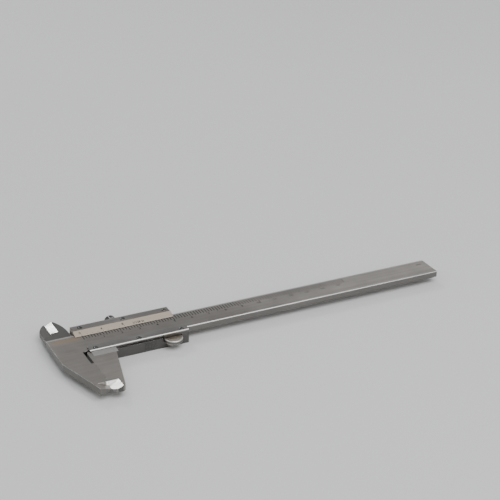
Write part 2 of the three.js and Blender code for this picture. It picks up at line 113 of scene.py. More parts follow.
def area_light(name, azimuth, elevation, distance, width, height, watts):
    """A white rectangular light that faces the origin."""
    data = bpy.data.lights.new(name, "AREA")
    data.shape = "RECTANGLE"
    data.size = width
    data.size_y = height
    data.energy = watts
    light = bpy.data.objects.new(name, data)
    bpy.context.scene.collection.objects.link(light)
    away = direction(azimuth, elevation)
    light.location = away * distance
    light.rotation_euler = away.to_track_quat("Z", "Y").to_euler()


def make_lights():
    """Soft studio lights and an even pale world."""
    for light in LIGHTS:
        area_light(*light)
    world = bpy.data.worlds.new("studio")
    bpy.context.scene.world = world
    world.use_nodes = True
    background = world.node_tree.nodes["Background"]
    background.inputs["Color"].default_value = WORLD_COLOUR
    background.inputs["Strength"].default_value = WORLD_STRENGTH


# ------------------------------------------------------------------ material helpers
def new_material(name):
    material = bpy.data.materials.new(name)
    material.use_nodes = True
    tree = material.node_tree
    return material, tree, tree.nodes["Principled BSDF"]


def add_node(tree, kind, **values):
    """A node with each value set on the input of that name, or else on the property."""
    node = tree.nodes.new(kind)
    for key, value in values.items():
        if key in node.inputs:
            node.inputs[key].default_value = value
        else:
            setattr(node, key, value)
    return node


def coordinates(tree, output):
    """A Texture Coordinate output: Object for a place, Normal for the way a face looks."""
    return add_node(tree, "ShaderNodeTexCoord").outputs[output]


def axes_of(tree, output):
    """The X, Y and Z sockets of a Texture Coordinate output."""
    split = add_node(tree, "ShaderNodeSeparateXYZ")
    tree.links.new(coordinates(tree, output), split.inputs[0])
    return split.outputs


def noise(tree, source, scale, detail=3.0, stretch=(1, 1, 1)):
    """Noise in object space; stretch multiplies each axis before the noise is read."""
    mapping = add_node(tree, "ShaderNodeMapping")
    mapping.inputs["Scale"].default_value = stretch
    texture = add_node(tree, "ShaderNodeTexNoise", Scale=scale, Detail=detail)
    tree.links.new(source, mapping.inputs["Vector"])
    tree.links.new(mapping.outputs["Vector"], texture.inputs["Vector"])
    return texture.outputs["Fac"]


def ramp(tree, source, low, high, from_low=0.35, from_high=0.65):
    """A number, mapped from from_low..from_high to low..high and clamped."""
    node = add_node(tree, "ShaderNodeMapRange", clamp=True)
    values = {"From Min": from_low, "From Max": from_high, "To Min": low, "To Max": high}
    for key, value in values.items():
        node.inputs[key].default_value = value
    tree.links.new(source, node.inputs["Value"])
    return node.outputs["Result"]


def mix(tree, factor, first, second):
    """A colour mix by a factor socket; first and second are colours or sockets."""
    node = add_node(tree, "ShaderNodeMix", data_type="RGBA")
    pairs = ((node.inputs[0], factor), (node.inputs[6], first), (node.inputs[7], second))
    for socket, value in pairs:
        if isinstance(value, bpy.types.NodeSocket):
            tree.links.new(value, socket)
        else:
            socket.default_value = (*value, 1)
    return node.outputs[2]


def math_node(tree, operation, first, second):
    """A sum or product of two numbers or sockets."""
    node = add_node(tree, "ShaderNodeMath", operation=operation)
    for socket, value in zip(node.inputs, (first, second)):
        if isinstance(value, bpy.types.NodeSocket):
            tree.links.new(value, socket)
        else:
            socket.default_value = value
    return node.outputs[0]


def product(tree, first, second):
    """The product of two numbers or sockets."""
    return math_node(tree, "MULTIPLY", first, second)


def rising(tree, value, start, end):
    """0 up to start, and 1 from end on."""
    return ramp(tree, value, 0.0, 1.0, start, end)


def falling(tree, value, start, end):
    """1 up to start, and 0 from end on."""
    return ramp(tree, value, 1.0, 0.0, start, end)


def within(tree, value, low, high, soft):
    """1 where low < value < high, falling to 0 over the soft width outside."""
    above = rising(tree, value, low - soft, low)
    below = falling(tree, value, high, high + soft)
    return product(tree, above, below)


def tint(tree, shader, mask, colour, amount):
    """Lays a colour over the shader's base colour where mask is 1."""
    link = shader.inputs["Base Color"].links[0]
    factor = product(tree, mask, amount)
    tinted = mix(tree, factor, link.from_socket, colour)
    tree.links.new(tinted, shader.inputs["Base Color"])


def rougher(tree, shader, mask, amount):
    """Adds amount to the roughness where mask is 1."""
    link = shader.inputs["Roughness"].links[0]
    added = product(tree, mask, amount)
    tree.links.new(math_node(tree, "ADD", link.from_socket, added), shader.inputs["Roughness"])


# ------------------------------------------------------------------ materials
GRAIN = (0.03, 1, 1)        # stretches noise along X, the way the steel was ground
STREAK_SCALE = 2600
STREAK_DETAIL = 4.0
BAND_SCALE = 420
CLOUD_SCALE = 60
CLOUD_RANGE = (0.3, 0.7)
BAND_STRENGTH = 0.45
STREAK_STRENGTH = 0.35
BUMP_DEPTH = 0.02 * MM
STEEL_BUMP = 0.25
STEEL_ANISOTROPY = 0.35
CHROME_BUMP = 0.12


BODY_LIGHT = (0.365, 0.34, 0.312)
BODY_DARK = (0.252, 0.236, 0.216)

# name: light tone, dark tone, lowest and highest roughness
METALS = {
    "beam_steel": (BODY_LIGHT, BODY_DARK, 0.3, 0.42),
    "slider_steel": (BODY_LIGHT, BODY_DARK, 0.32, 0.45),
    "satin_chrome": ((0.72, 0.63, 0.52), (0.64, 0.56, 0.46), 0.42, 0.5),
    "cap_steel": ((0.29, 0.28, 0.265), (0.21, 0.203, 0.193), 0.34, 0.46),
    "rail_steel": ((0.31, 0.3, 0.285), (0.23, 0.222, 0.212), 0.28, 0.4),
    "screw_steel": ((0.2, 0.195, 0.19), (0.09, 0.09, 0.09), 0.2, 0.34),
    "roller_steel": ((0.5, 0.44, 0.37), (0.36, 0.31, 0.255), 0.32, 0.45),
    "bronze": ((0.68, 0.47, 0.24), (0.5, 0.33, 0.16), 0.3, 0.45),
}


def ground_metal(name, bump=STEEL_BUMP, anisotropy=STEEL_ANISOTROPY):
    """Ground metal: long streaks and bands of two tones, over cloudy staining."""
    light, dark, rough_low, rough_high = METALS[name]
    material, tree, shader = new_material(name)
    place = coordinates(tree, "Object")
    streaks = noise(tree, place, STREAK_SCALE, STREAK_DETAIL, GRAIN)
    bands = noise(tree, place, BAND_SCALE, stretch=GRAIN)
    clouds = noise(tree, place, CLOUD_SCALE)
    tone = mix(tree, rising(tree, clouds, *CLOUD_RANGE), dark, light)
    tone = mix(tree, ramp(tree, bands, 0.0, BAND_STRENGTH), tone, dark)
    tone = mix(tree, ramp(tree, streaks, 0.0, STREAK_STRENGTH), tone, light)
    tree.links.new(tone, shader.inputs["Base Color"])
    spread = math_node(tree, "ADD", product(tree, bands, 0.5), product(tree, streaks, 0.5))
    tree.links.new(ramp(tree, spread, rough_low, rough_high), shader.inputs["Roughness"])
    bumps = add_node(tree, "ShaderNodeBump", Strength=bump, Distance=BUMP_DEPTH)
    tree.links.new(streaks, bumps.inputs["Height"])
    tree.links.new(bumps.outputs["Normal"], shader.inputs["Normal"])
    shader.inputs["Metallic"].default_value = 1.0
    shader.inputs["Anisotropic"].default_value = anisotropy
    return material, tree, shader


# Tints laid over a metal: colour and strength. Only the stain is the metal's own colour; the rest
# are painted light and shade.
# painted shade: the inside jaws' blades darkened, for the dimmer look of their crosswise grain
BLADE_PAINTED_SHADE = ((0.1, 0.1, 0.096), 0.8)
# painted highlight: near white on the measuring facets and on the end walls that catch the light
FACET_PAINTED_HIGHLIGHT = ((0.95, 0.94, 0.91), 1.0)
STAIN_TINT = ((0.44, 0.31, 0.21), 0.6)
# painted highlight: the beam's rear bevel drawn as a light strip, as if catching the light
REAR_BEVEL_PAINTED_HIGHLIGHT = ((0.52, 0.51, 0.49), 0.8)
# painted highlight: the bright line along the beam's front chamfer
FRONT_CHAMFER_PAINTED_HIGHLIGHT = ((0.62, 0.61, 0.59), 1.0)
# painted shade: the beam's front-facing walls darkened
BEAM_FRONT_PAINTED_SHADE = ((0.14, 0.14, 0.14), 0.6)
# painted shade: the beam's left-facing walls darkened
BEAM_LEFT_PAINTED_SHADE = ((0.13, 0.13, 0.125), 0.75)
# painted shade: the beam's sloping facet end walls darkened
END_WALL_PAINTED_SHADE = ((0.2, 0.19, 0.165), 1.0)
# painted shade: the slider's front wall darkened
SLIDER_FRONT_PAINTED_SHADE = ((0.1, 0.1, 0.1), 0.85)
# painted highlight: the light band on the sloping step between the rail and the jaw's face
JAW_STEP_PAINTED_HIGHLIGHT = ((0.5, 0.49, 0.47), 0.8)
# painted light: the slot's side wall lightened, as if light reached into the slot
SLOT_WALL_PAINTED_LIGHT = ((0.42, 0.41, 0.39), 1.0)
SLOT_WALL_ROUGHER = 0.5
# painted highlight: the bright line on the front rail's chamfer
RAIL_CHAMFER_PAINTED_HIGHLIGHT = ((0.7, 0.69, 0.67), 1.0)
# painted highlight: the bright ring round the thumb roller's rim
RIM_PAINTED_HIGHLIGHT = ((0.85, 0.82, 0.78), 1.0)
# painted shade: the thumb roller's upright knurled side darkened
ROLLER_SIDE_PAINTED_SHADE = ((0.2, 0.19, 0.175), 1.0)

# Places where a tint starts and ends, and the soft width of a place with two ends.
BLADE_BEHIND = (REAR_Y + 0.1 * MM, REAR_Y + 0.9 * MM)
BLADE_LEFT = (CONTACT_X + 0.8 * MM, CONTACT_X + 1.6 * MM)
STAIN_ALONG = (CONTACT_X - 9 * MM, CONTACT_X + 1 * MM, 4 * MM)
STAIN_ACROSS = (REAR_Y - 5.4 * MM, REAR_Y - 3.4 * MM, 1.4 * MM)
BY_CONTACT = (CONTACT_X + 0.1 * MM, CONTACT_X + 0.7 * MM)
NEAR_SLOT = (CONTACT_X + 1 * MM, CONTACT_X + 4.5 * MM, 0.1 * MM)
RIM_INNER = 0.65 * MM
RIM_OUTER = 0.5 * MM

# Kinds of face, by one component of their normal: lowest, highest, soft width.
FACING_FRONT = (-1.1, -0.95, 0.03)
FRONT_CHAMFER = (-0.8, -0.6, 0.05)
RAIL_CHAMFER = (-0.85, -0.55, 0.05)
REAR_BEVEL = (0.1, 0.22, 0.03)
JAW_STEP = (-0.2, -0.07, 0.03)
FACING_LEFT = (-1.1, -0.8, 0.05)
MOSTLY_LEFT = (-1.1, -0.5, 0.1)
FACET_LEAN = (-0.4, -0.12, 0.05)
FACET_TOP = (0.85, 1.1, 0.05)
END_WALL_FRONT = (-0.93, -0.85, 0.03)
END_WALL_RISE = (0.3, 0.4)      # where the rise starts and ends, with no upper limit
UPRIGHT = (-0.3, 0.3, 0.1)


def blade_mask(tree, position):
    """1 on the inside jaws' blades, behind the beam's rear edge and left of the slider: where the
    painted shade goes.
    """
    behind = rising(tree, position["Y"], *BLADE_BEHIND)
    left = falling(tree, position["X"], *BLADE_LEFT)
    return product(tree, behind, left)


def stain_mask(tree, position):
    """1 on the brownish streak on the beam's head."""
    along = within(tree, position["X"], *STAIN_ALONG)
    across = within(tree, position["Y"], *STAIN_ACROSS)
    return product(tree, along, across)


def end_wall_mask(tree, normal):
    """1 on the sloping walls that close the outside jaws' facets."""
    front = within(tree, normal["Y"], *END_WALL_FRONT)
    return product(tree, front, rising(tree, normal["Z"], *END_WALL_RISE))


def facet_mask(tree, normal):
    """1 on the measuring facets, whose faces lean to the left."""
    leaning = within(tree, normal["X"], *FACET_LEAN)
    facing_up = within(tree, normal["Z"], *FACET_TOP)
    return product(tree, leaning, facing_up)


def layered_tints(tree, shader, tints):
    """Lays (mask, (colour, amount)) pairs over the base colour, in order."""
    for mask, (colour, amount) in tints:
        tint(tree, shader, mask, colour, amount)


def beam_material():
    """Ground steel with the beam's stain, painted shade on its blade and walls, and painted
    highlights on its chamfers and facets.
    """
    material, tree, shader = ground_metal("beam_steel")
    position = axes_of(tree, "Object")
    normal = axes_of(tree, "Normal")
    end_wall = end_wall_mask(tree, normal)
    # painted highlight on the end walls right of the jaws' contact
    end_wall_highlight = product(tree, end_wall, rising(tree, position["X"], *BY_CONTACT))
    layered_tints(tree, shader, (
        (stain_mask(tree, position), STAIN_TINT),
        (blade_mask(tree, position), BLADE_PAINTED_SHADE),
        (within(tree, normal["Y"], *REAR_BEVEL), REAR_BEVEL_PAINTED_HIGHLIGHT),
        (within(tree, normal["Y"], *FRONT_CHAMFER), FRONT_CHAMFER_PAINTED_HIGHLIGHT),
        (within(tree, normal["Y"], *FACING_FRONT), BEAM_FRONT_PAINTED_SHADE),
        (within(tree, normal["X"], *FACING_LEFT), BEAM_LEFT_PAINTED_SHADE),
        (end_wall, END_WALL_PAINTED_SHADE),
        (end_wall_highlight, FACET_PAINTED_HIGHLIGHT),
        (facet_mask(tree, normal), FACET_PAINTED_HIGHLIGHT),
    ))
    return material


def slider_material():
    """Ground steel with painted shade on its front wall and blade, and painted light on its jaw
    step, slot wall and facets.
    """
    material, tree, shader = ground_metal("slider_steel")
    position = axes_of(tree, "Object")
    normal = axes_of(tree, "Normal")
    # painted highlight on the jaw's step, stronger the more it faces up
    step = product(tree, within(tree, normal["Y"], *JAW_STEP), normal["Z"])
    near_slot = within(tree, position["X"], *NEAR_SLOT)
    slot_wall = product(tree, near_slot, within(tree, normal["X"], *MOSTLY_LEFT))
    layered_tints(tree, shader, (
        (within(tree, normal["Y"], *FACING_FRONT), SLIDER_FRONT_PAINTED_SHADE),
        (blade_mask(tree, position), BLADE_PAINTED_SHADE),
        (step, JAW_STEP_PAINTED_HIGHLIGHT),
        (slot_wall, SLOT_WALL_PAINTED_LIGHT),
        (end_wall_mask(tree, normal), FACET_PAINTED_HIGHLIGHT),
        (facet_mask(tree, normal), FACET_PAINTED_HIGHLIGHT),
    ))
    rougher(tree, shader, slot_wall, SLOT_WALL_ROUGHER)
    return material


def rail_material():
    """The front rail, with a painted highlight on its chamfer."""
    material, tree, shader = ground_metal("rail_steel")
    chamfer = within(tree, axes_of(tree, "Normal")["Y"], *RAIL_CHAMFER)
    layered_tints(tree, shader, ((chamfer, RAIL_CHAMFER_PAINTED_HIGHLIGHT),))
    return material


def roller_material():
    """Brownish worn top, with a painted highlight on its rim and painted shade on its side."""
    material, tree, shader = ground_metal("roller_steel")
    low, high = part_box("thumb_roller")
    centre = (low + high) / 2
    offset = add_node(tree, "ShaderNodeVectorMath", operation="DISTANCE")
    tree.links.new(coordinates(tree, "Object"), offset.inputs[0])
    offset.inputs[1].default_value = (centre.x, centre.y, high.z)
    radius = (high.x - low.x) / 2
    # where the painted highlight goes on the rim
    rim = rising(tree, offset.outputs["Value"], radius - RIM_INNER, radius - RIM_OUTER)
    # painted shade on the roller's upright side
    upright = within(tree, axes_of(tree, "Normal")["Z"], *UPRIGHT)
    layered_tints(tree, shader, ((rim, RIM_PAINTED_HIGHLIGHT), (upright, ROLLER_SIDE_PAINTED_SHADE)))
    return material


INK_SCALE = 900
INK_RANGE = (0.4, 0.75)
INK_DARK = (0.035, 0.034, 0.033)
INK_WORN = (0.13, 0.125, 0.12)
INK_ROUGHNESS = (0.8, 0.95)
INK_SPECULAR = 0.1
FLOOR_SCALE = 3.0
FLOOR_DETAIL = 2.0
FLOOR_RANGE = (0.2, 0.8)
FLOOR_DARK = (0.8, 0.8, 0.79)
FLOOR_LIGHT = (0.84, 0.84, 0.83)
FLOOR_ROUGHNESS = 0.75


def ink_material():
    """Dark filling of the engraved lines: matt, a little worn."""
    material, tree, shader = new_material("engraving_fill")
    wear = noise(tree, coordinates(tree, "Object"), INK_SCALE)
    tone = mix(tree, rising(tree, wear, *INK_RANGE), INK_DARK, INK_WORN)
    tree.links.new(tone, shader.inputs["Base Color"])
    tree.links.new(ramp(tree, wear, *INK_ROUGHNESS), shader.inputs["Roughness"])
    shader.inputs["Specular IOR Level"].default_value = INK_SPECULAR
    return material


def floor_material():
    """Pale and plain, with a faint soft mottling."""
    material, tree, shader = new_material("pale_floor")
    mottle = noise(tree, coordinates(tree, "Object"), FLOOR_SCALE, FLOOR_DETAIL)
    tone = mix(tree, rising(tree, mottle, *FLOOR_RANGE), FLOOR_DARK, FLOOR_LIGHT)
    tree.links.new(tone, shader.inputs["Base Color"])
    shader.inputs["Roughness"].default_value = FLOOR_ROUGHNESS
    return material


materials = {
    "beam": beam_material(),
    "slider": slider_material(),
    "chrome": ground_metal("satin_chrome", CHROME_BUMP, 0.0)[0],
    "cap": ground_metal("cap_steel")[0],
    "rail": rail_material(),
    "screw": ground_metal("screw_steel")[0],
    "bronze": ground_metal("bronze")[0],
    "roller": roller_material(),
    "ink": ink_material(),
}


# ------------------------------------------------------------------ mesh helpers
SMOOTH_ANGLE = math.radians(35)
WELD_DISTANCE = 0.0005 * MM
FLAT_ANGLE = math.radians(0.5)
EDGE_ANGLE = math.radians(28)
EDGE_SEGMENTS = 2
PRISM_SIDES = ((0, 1), (1, 3), (3, 2), (2, 0))


def link_mesh(name, mesh, body, material):
    """A visual piece that rides a body, in one material and one material slot."""
    piece = bpy.data.objects.new(name, mesh)
    bpy.context.scene.collection.objects.link(piece)
    mesh.materials.clear()
    mesh.materials.append(materials[material])
    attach(piece, body)
    return piece


def mesh_from(bm, name):
    """The bmesh as a mesh, with its faces turned outwards."""
    bmesh.ops.recalc_face_normals(bm, faces=bm.faces)
    mesh = bpy.data.meshes.new(name)
    bm.to_mesh(mesh)
    bm.free()
    return mesh


def spun(profile, sides, radius_at=None):
    """A bmesh turned about +Z. profile is (radius, height) pairs, and radius_at(step, radius)
    gives the radius of a ring's vertex of that step."""
    bm = bmesh.new()
    rings = []
    for radius, height in profile:
        if radius == 0:
            rings.append([bm.verts.new((0, 0, height))])
            continue
        ring = []
        for step in range(sides):
            angle = 2 * math.pi * step / sides
            r = radius if radius_at is None else radius_at(step, radius)
            ring.append(bm.verts.new((r * math.cos(angle), r * math.sin(angle), height)))
        rings.append(ring)
    for low, high in zip(rings, rings[1:]):
        for step in range(sides):
            after = (step + 1) % sides
            if len(low) == 1:
                bm.faces.new((low[0], high[step], high[after]))
            elif len(high) == 1:
                bm.faces.new((low[step], high[0], low[after]))
            else:
                bm.faces.new((low[step], high[step], high[after], low[after]))
    return bm


def smooth_by_angle(piece):
    """Shades faces smooth, with edges above SMOOTH_ANGLE kept sharp."""
    mesh = piece.data
    for face in mesh.polygons:
        face.use_smooth = True
    bm = bmesh.new()
    bm.from_mesh(mesh)
    for edge in bm.edges:
        edge.smooth = edge.calc_face_angle(0.0) < SMOOTH_ANGLE
    bm.to_mesh(mesh)
    bm.free()


def soften(piece, width):
    """Small rounded edges: welded, flat faces merged, then bevelled."""
    weld = piece.modifiers.new("weld", "WELD")
    weld.merge_threshold = WELD_DISTANCE
    merge = piece.modifiers.new("merge_flat", "DECIMATE")
    merge.decimate_type = "DISSOLVE"
    merge.angle_limit = FLAT_ANGLE
    bevel = piece.modifiers.new("edges", "BEVEL")
    bevel.width = width
    bevel.segments = EDGE_SEGMENTS
    bevel.limit_method = "ANGLE"
    bevel.angle_limit = EDGE_ANGLE
    bevel.harden_normals = False
    bevel.use_clamp_overlap = True


# ------------------------------------------------------------------ CAD pieces that keep their shape
# node: material and the width of its rounded edges in millimetres
CAD_LOOKS = {
    "beam": ("beam", 0.08),
    "slider_frame": ("slider", 0.08),
    "vernier_plate": ("chrome", 0.08),
    "rear_cap": ("cap", 0.1),
    "front_rail": ("rail", 0.14),
    "gib_strip": ("bronze", 0.05),
    "depth_rod": ("beam", 0.1),
    "end_stop": ("beam", 0.12),
    "rod_clamp_plate": ("beam", 0.1),
    "clamp_pad": ("bronze", 0.05),
    "roller_axle": ("roller", 0.08),
    "gib_set_screw_1": ("screw", 0.06),
    "gib_set_screw_2": ("screw", 0.06),
}


def finish_cad_nodes():
    """Gives the CAD pieces that stay visible their material and their rounded edges."""
    for node, (material, width) in CAD_LOOKS.items():
        slots = nodes[node].data.materials
        slots.clear()
        slots.append(materials[material])
        soften(nodes[node], width * MM)


# ------------------------------------------------------------------ graduations
LINE_HEIGHT = 0.014 * MM
LINE_ROOT = 0.05 * MM
LETTER_RESOLUTION = 3


def add_marks(name, mesh, body):
    """Engraved marks are one inked mesh on their body."""
    link_mesh(name, mesh, body, "ink")


def tick_row(name, body, pitch, count, root_y, length_of, width, height_at):
    """A row of engraved lines from the scales' zero. Line i runs length_of(i) towards -Y from
    root_y; height_at(y) is the height of the face it lies on."""
    bm = bmesh.new()
    for i in range(count):
        x = SCALE_ZERO_X + i * pitch
        corners = [
            Vector((x + dx, y, height_at(y)))
            for dx in (-width / 2, width / 2)
            for y in (root_y, root_y - length_of(i))
        ]
        bottom = [bm.verts.new(c - Vector((0, 0, LINE_ROOT))) for c in corners]
        top = [bm.verts.new(c + Vector((0, 0, LINE_HEIGHT))) for c in corners]
        for ring in (bottom, top):
            bm.faces.new((ring[0], ring[1], ring[3], ring[2]))
        for a, b in PRISM_SIDES:
            bm.faces.new((bottom[a], bottom[b], top[b], top[a]))
    add_marks(name, mesh_from(bm, name), body)


def lettering(name, body, words, size, turn=None, bold=0.0):
    """Text as a thin mesh. words is a list of (text, x, y, z); turn tilts each word on its
    face, and bold widens its strokes."""
    bm = bmesh.new()
    for text, x, y, z in words:
        curve = bpy.data.curves.new(name, "FONT")
        curve.body = text
        curve.size = size
        curve.align_x = "CENTER"
        curve.align_y = "CENTER"
        curve.extrude = (LINE_ROOT + LINE_HEIGHT) / 2
        curve.offset = bold
        curve.resolution_u = LETTER_RESOLUTION
        writer = bpy.data.objects.new(name, curve)
        bpy.context.scene.collection.objects.link(writer)
        evaluated = writer.evaluated_get(bpy.context.evaluated_depsgraph_get())
        mesh = bpy.data.meshes.new_from_object(evaluated)
        sink = Matrix.Translation((0, 0, (LINE_HEIGHT - LINE_ROOT) / 2))
        mesh.transform(Matrix.Translation((x, y, z)) @ (turn or Matrix.Identity(4)) @ sink)
        bm.from_mesh(mesh)
        bpy.data.objects.remove(writer)
        bpy.data.meshes.remove(mesh)
    bmesh.ops.remove_doubles(bm, verts=bm.verts, dist=WELD_DISTANCE)
    add_marks(name, mesh_from(bm, name), body)


TICKS_PER_INCH = 16
TICKS_PER_QUARTER = 4
SIXTEENTH = INCH / TICKS_PER_INCH
BEAM_TICKS = 6 * TICKS_PER_INCH + 3
BEAM_TICK_WIDTH = 0.42 * MM
INCH_TICK = 5.0 * MM
QUARTER_TICK = 4.6 * MM
SHORT_TICK = 4.1 * MM
BEVEL_FOOT_Y = REAR_Y - 1.6 * MM        # where the beam's rear bevel meets its face
CENTIMETRES = 15
BEAM_NUMERAL_SIZE = 2.4 * MM
BEAM_NUMERAL_BOLD = 0.04 * MM
BEAM_NUMERAL_Y = REAR_Y - 7.6 * MM
BEAM_NUMERAL_SHIFT = 0.4                # millimetres right of its centimetre
BEAM_UNIT_X = beam_high.x - 5 * MM
BEAM_UNIT_Y = REAR_Y - 4.2 * MM


def beam_scales():
    """Sixteenths of an inch along the rear edge and centimetre numerals beneath them."""
    def length_of(i):
        if i % TICKS_PER_INCH == 0:
            return INCH_TICK
        return QUARTER_TICK if i % TICKS_PER_QUARTER == 0 else SHORT_TICK

    tick_row(
        "beam_sixteenths", "beam", SIXTEENTH, BEAM_TICKS, BEVEL_FOOT_Y,
        length_of, BEAM_TICK_WIDTH, lambda y: FACE_Z,
    )
    numerals = [
        (str(k), SCALE_ZERO_X + (10 * k + BEAM_NUMERAL_SHIFT) * MM, BEAM_NUMERAL_Y, FACE_Z)
        for k in range(1, CENTIMETRES + 1)
    ]
    lettering("beam_numerals", "beam", numerals, BEAM_NUMERAL_SIZE, bold=BEAM_NUMERAL_BOLD)
    units = [("mm", BEAM_UNIT_X, BEAM_UNIT_Y, FACE_Z)]
    lettering("beam_units", "beam", units, BEAM_NUMERAL_SIZE)


# The vernier plate's sloping face: its front foot, its rear top and the slope between them.
BEVEL_LOW_Y = plate_low.y
BEVEL_LOW_Z = FACE_Z + 0.35 * MM
BEVEL_HIGH_Y = cap_low.y - 0.1 * MM
BEVEL_HIGH_Z = FACE_Z + 1.75 * MM
BEVEL_SLOPE = (BEVEL_HIGH_Z - BEVEL_LOW_Z) / (BEVEL_HIGH_Y - BEVEL_LOW_Y)

VERNIER_DIVISIONS = 8
VERNIER_SPAN = 15 * SIXTEENTH
VERNIER_PITCH = VERNIER_SPAN / VERNIER_DIVISIONS
VERNIER_NUMBERED = (0, 4, 8)            # these lines are long and carry their number
VERNIER_ROOT_Y = plate_low.y + 0.95 * MM
VERNIER_LENGTH = 0.89 * MM
VERNIER_SHORT = 0.75                    # a short line's part of the full length
VERNIER_TICK_WIDTH = 0.12 * MM
VERNIER_NUMERAL_X = SCALE_ZERO_X - 0.6 * MM
VERNIER_NUMERAL_Y = plate_low.y + 1.95 * MM
VERNIER_NUMERAL_SIZE = 2.1 * MM
VERNIER_NUMERAL_BOLD = 0.03 * MM
VERNIER_UNIT_X = CONTACT_X + 37.2 * MM
VERNIER_UNIT_Y = plate_low.y + 1.15 * MM
VERNIER_UNIT_SIZE = 2.0 * MM
VERNIER_UNIT_BOLD = 0.04 * MM


def on_bevel(y):
    """Height of the vernier plate's sloping face at y."""
    return BEVEL_LOW_Z + (y - BEVEL_LOW_Y) * BEVEL_SLOPE


def vernier_scale():
    """Eight divisions over fifteen sixteenths of an inch, with numerals and the unit."""
    tilt = Matrix.Rotation(math.atan(BEVEL_SLOPE), 4, "X")
    tick_row(
        "vernier_lines", "slider", VERNIER_PITCH, VERNIER_DIVISIONS + 1, VERNIER_ROOT_Y,
        lambda i: VERNIER_LENGTH * (1 if i in VERNIER_NUMBERED else VERNIER_SHORT),
        VERNIER_TICK_WIDTH, on_bevel,
    )
    numerals = [
        (str(i), VERNIER_NUMERAL_X + i * VERNIER_PITCH, VERNIER_NUMERAL_Y,
         on_bevel(VERNIER_NUMERAL_Y))
        for i in VERNIER_NUMBERED
    ]
    lettering(
        "vernier_numerals", "slider", numerals, VERNIER_NUMERAL_SIZE, tilt, VERNIER_NUMERAL_BOLD
    )
    units = [("1/128 in", VERNIER_UNIT_X, VERNIER_UNIT_Y, on_bevel(VERNIER_UNIT_Y))]
    lettering("vernier_units", "slider", units, VERNIER_UNIT_SIZE, tilt, VERNIER_UNIT_BOLD)


# ------------------------------------------------------------------ fasteners and knurled pieces
BOX_FACES = ((0, 1, 3, 2), (4, 6, 7, 5), (0, 4, 5, 1), (2, 3, 7, 6), (0, 2, 6, 4), (1, 5, 7, 3))
CUT_MARGIN = 1 * MM
KNURL_PITCH = 3             # sides from one valley to the next

HEAD_RADIUS = 1.35 * MM
HEAD_HEIGHT = 0.75 * MM
HEAD_DOME = 0.23 * MM
HEAD_FOOT = 0.05 * MM
# The head's top corner: in from its radius and down from its top, in millimetres.
HEAD_CORNER = ((0, 0.2), (0.06, 0.08), (0.2, 0))
# Its crown: parts of the head's radius and of the dome's height.
HEAD_CROWN = ((0.7, 0.5), (0.35, 0.87))
SHANK_RADIUS = 0.75 * MM
SHANK_CHAMFER = 0.15 * MM
SCREW_SIDES = 40
SLOT_HALF = 0.2 * MM
SLOT_DEPTH = 0.35 * MM
SLOT_REACH = 3 * MM
FIRST_SLOT_TURN = 0.4       # radians
SLOT_TURN_STEP = 1.1

# stem of the CAD nodes' names: how many, their body, whether their heads face up
SCREW_ROWS = {
    "front_rail_screw": (3, "slider", True),
    "rear_cap_screw": (3, "slider", True),
    "end_stop_screw": (2, "beam", False),
    "rod_clamp_screw": (2, "slider", False),
}


def slotted(blank, name, reach, half, bottom, top, angle):
    """blank with a screwdriver slot cut across it from bottom to top, turned by angle."""
    bm = bmesh.new()
    turn = Matrix.Rotation(angle, 4, "Z")
    corners = [
        bm.verts.new(turn @ Vector((x, y, z)))
        for x in (-reach, reach) for y in (-half, half) for z in (bottom, top)
    ]
    for face in BOX_FACES:
        bm.faces.new([corners[i] for i in face])
    whole = bpy.data.objects.new("whole", blank)
    tool = bpy.data.objects.new("tool", mesh_from(bm, "slot"))
    for item in (whole, tool):
        bpy.context.scene.collection.objects.link(item)
    boolean = whole.modifiers.new("cut", "BOOLEAN")
    boolean.operation = "DIFFERENCE"
    boolean.solver = "EXACT"
    boolean.object = tool
    evaluated = whole.evaluated_get(bpy.context.evaluated_depsgraph_get())
    result = bpy.data.meshes.new_from_object(evaluated)
    result.name = name
    for item in (whole, tool):
        bpy.data.objects.remove(item)
    return result


def screw_mesh(length, slot_angle, dome):
    """A slotted screw on +Z, its head's underside at height 0; dome is its crown's height."""
    profile = [
        (0, -length),
        (SHANK_RADIUS - SHANK_CHAMFER, -length),
        (SHANK_RADIUS, -length + SHANK_CHAMFER),
        (SHANK_RADIUS, 0),
        (HEAD_RADIUS - HEAD_FOOT, 0),
        (HEAD_RADIUS, HEAD_FOOT),
        *((HEAD_RADIUS - inset * MM, HEAD_HEIGHT - drop * MM) for inset, drop in HEAD_CORNER),
        *((HEAD_RADIUS * part, HEAD_HEIGHT + dome * rise) for part, rise in HEAD_CROWN),
        (0, HEAD_HEIGHT + dome),
    ]
    blank = mesh_from(spun(profile, SCREW_SIDES), "screw_blank")
    bottom = HEAD_HEIGHT - SLOT_DEPTH
    top = HEAD_HEIGHT + CUT_MARGIN
    return slotted(blank, "screw", SLOT_REACH, SLOT_HALF, bottom, top, slot_angle)


def make_screws():
    """Detailed screws in place of the CAD ones; each slot stopped at its own angle."""
    turn = FIRST_SLOT_TURN
    for stem, (count, body, facing_up) in SCREW_ROWS.items():
        for i in range(count):
            node = f"{stem}_{i + 1}"
            low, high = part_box(node)
            turn += SLOT_TURN_STEP
            length = (high.z - low.z) - HEAD_HEIGHT
            mesh = screw_mesh(length, turn, HEAD_DOME if facing_up else 0)
            centre = (low + high) / 2
            if facing_up:
                place = Matrix.Translation((centre.x, centre.y, high.z - HEAD_HEIGHT))
            else:
                flip = Matrix.Rotation(math.pi, 4, "X")
                place = Matrix.Translation((centre.x, centre.y, low.z + HEAD_HEIGHT)) @ flip
            mesh.transform(place)
            piece = link_mesh(f"{node}_detail", mesh, body, "screw")
            smooth_by_angle(piece)
            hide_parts(node)


def knurl(full_radius, depth):
    """radius_at for a straight knurl where the profile is at full_radius."""
    def radius_at(step, radius):
        if radius == full_radius and step % KNURL_PITCH == 0:
            return radius - depth
        return radius
    return radius_at


